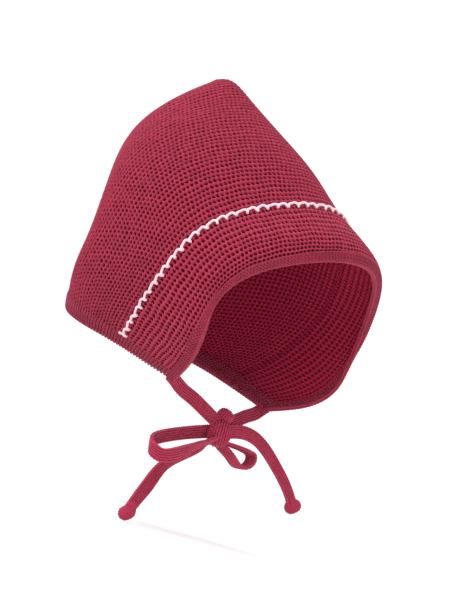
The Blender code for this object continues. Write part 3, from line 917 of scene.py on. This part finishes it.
# Painted shade for the cores that show between the ribs of the straps, knot and end knots
TIE_GROOVE_SHADE_RED = (0.25, 0.014, 0.040)
TIE_CORNERS = 14
TIE_PLACES = 600
TIE_RIBS = 6
TIE_STITCH = 0.0016
STEPS_A_STITCH = 3
TIE_SUNK = 0.0006
TIE_EDGE_INSET = 0.0001
TIE_EDGE_DROP = 0.5
TIE_BEADS = 0.28
TIE_RADIUS = 0.00066
TIE_SIDES = 4

# along, sag in thicknesses, wide on the wearer's left
TIE_RESTS = (
    (0.00, 0.0, (-0.4, 0.8, 0.4)),
    (0.16, 0.3, (-0.4, 0.6, 0.7)),
    (0.40, 0.0, (-0.4, 0.4, 0.85)),
    (0.70, 0.0, (-0.4, 0.2, 0.9)),
    (1.00, 0.0, (-0.4, -0.1, 0.9)),
)
# side, forward, up from the knot as shares of BOW_REACH, wide
LOOP_RIGHT = (
    (-0.05, -0.05, 0.01, (0.0, 0.2, 1.0)),
    (-0.22, -0.09, -0.04, (0.0, 0.2, 1.0)),
    (-0.43, -0.11, -0.10, (0.0, 0.2, 1.0)),
    (-0.67, -0.10, -0.17, (0.0, 0.1, 1.0)),
    (-0.88, -0.05, -0.24, (-0.1, 0.0, 1.0)),
    (-0.97, 0.04, -0.31, (-0.2, -0.1, 1.0)),
    (-0.92, 0.13, -0.36, (-0.2, -0.2, 1.0)),
    (-0.76, 0.16, -0.32, (0.0, -0.1, 1.0)),
    (-0.52, 0.14, -0.22, (0.0, 0.4, 0.8)),
    (-0.27, 0.09, -0.12, (0.0, 0.8, 0.6)),
    (-0.08, 0.05, -0.06, (0.0, 0.7, 0.7)),
)
LOOP_LEFT = (
    (0.03, 0.02, -0.10, (0.0, 1.0, 0.1)),
    (0.09, 0.08, -0.15, (0.0, 1.0, 0.1)),
    (0.15, 0.12, -0.20, (0.0, 1.0, 0.1)),
    (0.23, 0.14, -0.25, (0.0, 1.0, 0.1)),
    (0.33, 0.15, -0.25, (0.0, 1.0, 0.1)),
    (0.41, 0.15, -0.19, (0.0, 1.0, 0.1)),
    (0.42, 0.14, -0.12, (0.0, 1.0, 0.1)),
    (0.37, 0.12, -0.09, (0.0, 1.0, 0.1)),
    (0.25, 0.08, -0.075, (0.0, 1.0, 0.1)),
    (0.08, 0.02, -0.07, (0.0, 1.0, 0.1)),
)
END_RIGHT = (
    (-0.02, -0.05, -0.09, (-0.2, 1.0, 0.0)),
    (-0.13, -0.10, -0.18, (-0.4, 0.3, 0.8)),
    (-0.31, -0.10, -0.28, (-0.5, 0.2, 0.8)),
    (-0.49, -0.10, -0.39, (-0.7, 0.2, 0.7)),
    (-0.61, -0.11, -0.52, (-0.8, -0.1, 0.5)),
    (-0.68, -0.13, -0.68, (-0.9, -0.4, 0.3)),
    (-0.74, -0.16, -0.83, (-0.9, -0.2, 0.1)),
    (-0.79, -0.19, -0.98, (-0.9, -0.1, 0.1)),
)
END_LEFT = (
    (0.03, 0.07, 0.04, (0.0, 0.0, 1.0)),
    (0.19, 0.12, 0.08, (0.0, -0.1, 1.0)),
    (0.37, 0.17, 0.06, (0.2, -0.2, 1.0)),
    (0.54, 0.22, -0.03, (0.5, -0.1, 0.8)),
    (0.69, 0.27, -0.15, (0.6, -0.1, 0.7)),
    (0.83, 0.32, -0.28, (0.7, -0.1, 0.7)),
    (0.93, 0.35, -0.39, (0.7, -0.1, 0.6)),
    (1.01, 0.37, -0.49, (0.7, -0.1, 0.6)),
)


def knot_place(side=0.0, up=0.0):
    return np.array((side, -(KNOT_FORWARD + SEAT_BACK), up - KNOT_DROP - SEAT_HEIGHT))


def from_knot(turns):
    """The points of a route that starts at the knot, and which way the strap is wide at each."""
    points = np.array([(side, -forward, up) for side, forward, up, _ in turns]) * BOW_REACH + knot_place()
    wides = np.array([(wide[0], -wide[1], wide[2]) for *_, wide in turns])
    return points, wides


def tie_route(side):
    """The route from behind a chin corner to the knot, and which way the strap is wide."""
    corner = cap_places(EDGING_WIDTH / CLOTH_DEPTH, np.array([0.0]))[0][0]
    start = (corner - (TIE_FROM_SIDE, TIE_FROM_BAND, TIE_THICKNESS / 2 + GAP)) * (side, 1, 1)
    knot = knot_place(side * TIE_INTO_KNOT, TIE_ABOVE_KNOT)
    points = [start + (knot - start) * along - (0, 0, sag * TIE_THICKNESS) for along, sag, _ in TIE_RESTS]
    wides = [(side * wide[0], side * wide[1], wide[2]) for *_, wide in TIE_RESTS]
    sewn_in = start - unit(points[1] - start) * SEWN_IN
    return np.array([sewn_in, *points]), np.array([wides[0], *wides])


def joined(name, parts):
    """One object that holds the meshes of these parts, each with its own finish."""
    shape = bmesh.new()
    finishes = []
    for part in parts:
        start = len(shape.faces)
        shape.from_mesh(part.data)
        shape.faces.ensure_lookup_table()
        finish = part.data.materials[0]
        if finish not in finishes:
            finishes.append(finish)
        for face in shape.faces[start:]:
            face.material_index = finishes.index(finish)
        bpy.data.objects.remove(part, do_unlink=True)
    mesh = bpy.data.meshes.new(name)
    shape.to_mesh(mesh)
    shape.free()
    for finish in finishes:
        mesh.materials.append(finish)
    return placed(name, mesh)


tie_wool = wool("tie band wool", TIE_RED)
tie_groove_shade_wool = wool("painted shade in the grooves of the ties", TIE_GROOVE_SHADE_RED, sheen=0.0)


def strap(name, route):
    """A strap on its route: a flat core of painted shade with ribs of yarn laid along both of its faces."""
    knots = np.linspace(0, 1, len(route[0]))
    fine = np.linspace(0, 1, TIE_PLACES)
    walked = walked_along(spline_weights(knots, fine) @ route[0])
    count = round(walked[-1] / (TIE_STITCH / STEPS_A_STITCH))
    at = np.interp(np.linspace(0, walked[-1], count + 1), walked, fine)
    line, wide = (spline_weights(knots, at) @ way for way in route)
    along = unit(np.gradient(line, axis=0))
    wide = unit(wide - along * (wide * along).sum(1, keepdims=True))
    thick = np.cross(along, wide)
    middle, across, through = (way[::STEPS_A_STITCH] for way in (line, wide, thick))
    halves = (TIE_WIDTH / 2 - CORE_INSET, TIE_THICKNESS / 2 - TIE_SUNK)
    core_rings = flat_sections(middle, across, through, *halves, TIE_CORNERS)
    core = rolled_core(name + "_core", core_rings, tie_groove_shade_wool)
    rows = []
    phase = np.arange(count + 1) * 2 * math.pi / STEPS_A_STITCH
    for face in (-1, 1):
        for rib in range(TIE_RIBS):
            share = (rib + 0.5) / TIE_RIBS * 2 - 1
            aside = share * (TIE_WIDTH / 2 - TIE_EDGE_INSET)
            up = face * (TIE_THICKNESS / 2 - TIE_SUNK) * (1 - abs(share) ** 4 * TIE_EDGE_DROP)
            beads = 1 + TIE_BEADS * np.cos(phase + math.pi * rib)
            rows.append(Row(line + wide * aside + thick * up, beads))
    ribs_laid = lay_yarn(name + "_ribs", rows, tie_wool, TIE_RADIUS, TIE_SIDES)
    return joined(name, [core, ribs_laid])


routes = {
    "tie_right": tie_route(-1),
    "tie_left": tie_route(1),
    "bow_loop_right": from_knot(LOOP_RIGHT),
    "bow_loop_left": from_knot(LOOP_LEFT),
    "tie_end_right": from_knot(END_RIGHT),
    "tie_end_left": from_knot(END_LEFT),
}
for node, route in routes.items():
    piece = strap(node + "_band", route)
    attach(piece, "root")
    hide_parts(node)

# The knot is the band wound from top to bottom over the crossing, with a lump of it standing above.
KNOT_SIZE = (0.0145, 0.0150, 0.0165)
KNOT_OVER = (-0.0014, -0.0012, 0.0)
KNOT_RIBS = 13
KNOT_TURN = math.radians(-50)
LOBE_PLACE = (0.0012, 0.0110)
LOBE_SIZE = (0.0105, 0.0089, 0.0095)
LOBE_RIBS = 10
LOBE_TILT = math.radians(25)
RIB_RADIUS = 0.00074
RIB_SIDES = 5
RIB_BEADS = 0.26
BEADS_ROUND = 14
RIB_PLACES = 41
# How far the ribs' middles and the core lie inside the lump, in radii of a rib
RIBS_INSIDE = 1.6
CORE_INSIDE = 3.4
LUMP_ROUNDING = 0.7


def lump_core(name, centre, size):
    """The middle of a wound lump, dark with painted shade."""
    shape = bmesh.new()
    bmesh.ops.create_icosphere(shape, subdivisions=4, radius=0.5)
    for corner in shape.verts:
        corner.co = Vector(centre) + Vector([c * s for c, s in zip(corner.co, size)])
    mesh = bpy.data.meshes.new(name)
    shape.to_mesh(mesh)
    shape.free()
    mesh.materials.append(tie_groove_shade_wool)
    mesh.shade_smooth()
    return placed(name, mesh)


def wound_rows(centre, size, ribs, turn, tilt):
    """Ribs of a band wound over a lump, closing at both of its ends. It is turned on its foot and tilted."""
    rows = []
    half = size / 2
    lean = np.array(Matrix.Rotation(turn, 3, "Z") @ Matrix.Rotation(tilt, 3, "Y"))
    angles = np.linspace(0, 2 * math.pi, RIB_PLACES)
    for rib in range(ribs):
        slant = (rib + 0.5) / ribs * math.pi
        shrink = math.sin(slant) ** LUMP_ROUNDING
        line = np.stack([
            np.full(len(angles), -math.cos(slant) * half[0]),
            np.cos(angles) * half[1] * shrink,
            np.sin(angles) * half[2] * shrink,
        ], 1)
        beads = 1 + RIB_BEADS * np.cos(angles * BEADS_ROUND + math.pi * rib)
        rows.append(Row(line @ lean.T + centre, beads))
    return rows


def wound_lump(name, lumps):
    """Lumps of wound band as one object. Each lump is its centre, size, ribs, turn and tilt."""
    rows = []
    parts = []
    for centre, size, ribs, turn, tilt in lumps:
        rows += wound_rows(centre, np.array(size) - RIBS_INSIDE * RIB_RADIUS, ribs, turn, tilt)
        parts.append(lump_core(name + "_core", centre, np.array(size) - CORE_INSIDE * RIB_RADIUS))
    parts.append(lay_yarn(name + "_ribs", rows, tie_wool, RIB_RADIUS, RIB_SIDES))
    return joined(name, parts)


bow_knot = wound_lump("bow_knot_wound", (
    (knot_place() + KNOT_OVER, KNOT_SIZE, KNOT_RIBS, KNOT_TURN, 0.0),
    (knot_place(*LOBE_PLACE), LOBE_SIZE, LOBE_RIBS, KNOT_TURN, LOBE_TILT),
))
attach(bow_knot, "root")
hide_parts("bow_knot")

# Each tail ends in an overhand knot of the same strap, drawn tight into a small twisted lump. A smaller
# lump behind it, wound the other way, is its collar.
END_KNOT_SIZE = np.array((0.0084, 0.0084, 0.0106))
END_KNOT_RIBS = 9
END_KNOT_TILT = math.radians(50)
COLLAR_BEHIND = 0.0042
COLLAR_SHARE = 0.72
COLLAR_RIBS = 8
COLLAR_TURN = math.radians(10)
for side, turns in (("right", END_RIGHT), ("left", END_LEFT)):
    before, tip = from_knot(turns)[0][-2:]
    collar = tip + unit(before - tip) * COLLAR_BEHIND
    piece = wound_lump("end_knot_" + side + "_wound", (
        (tip, END_KNOT_SIZE, END_KNOT_RIBS, KNOT_TURN, END_KNOT_TILT),
        (collar, END_KNOT_SIZE * COLLAR_SHARE, COLLAR_RIBS, COLLAR_TURN, -END_KNOT_TILT),
    ))
    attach(piece, "root")
    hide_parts("end_knot_" + side)
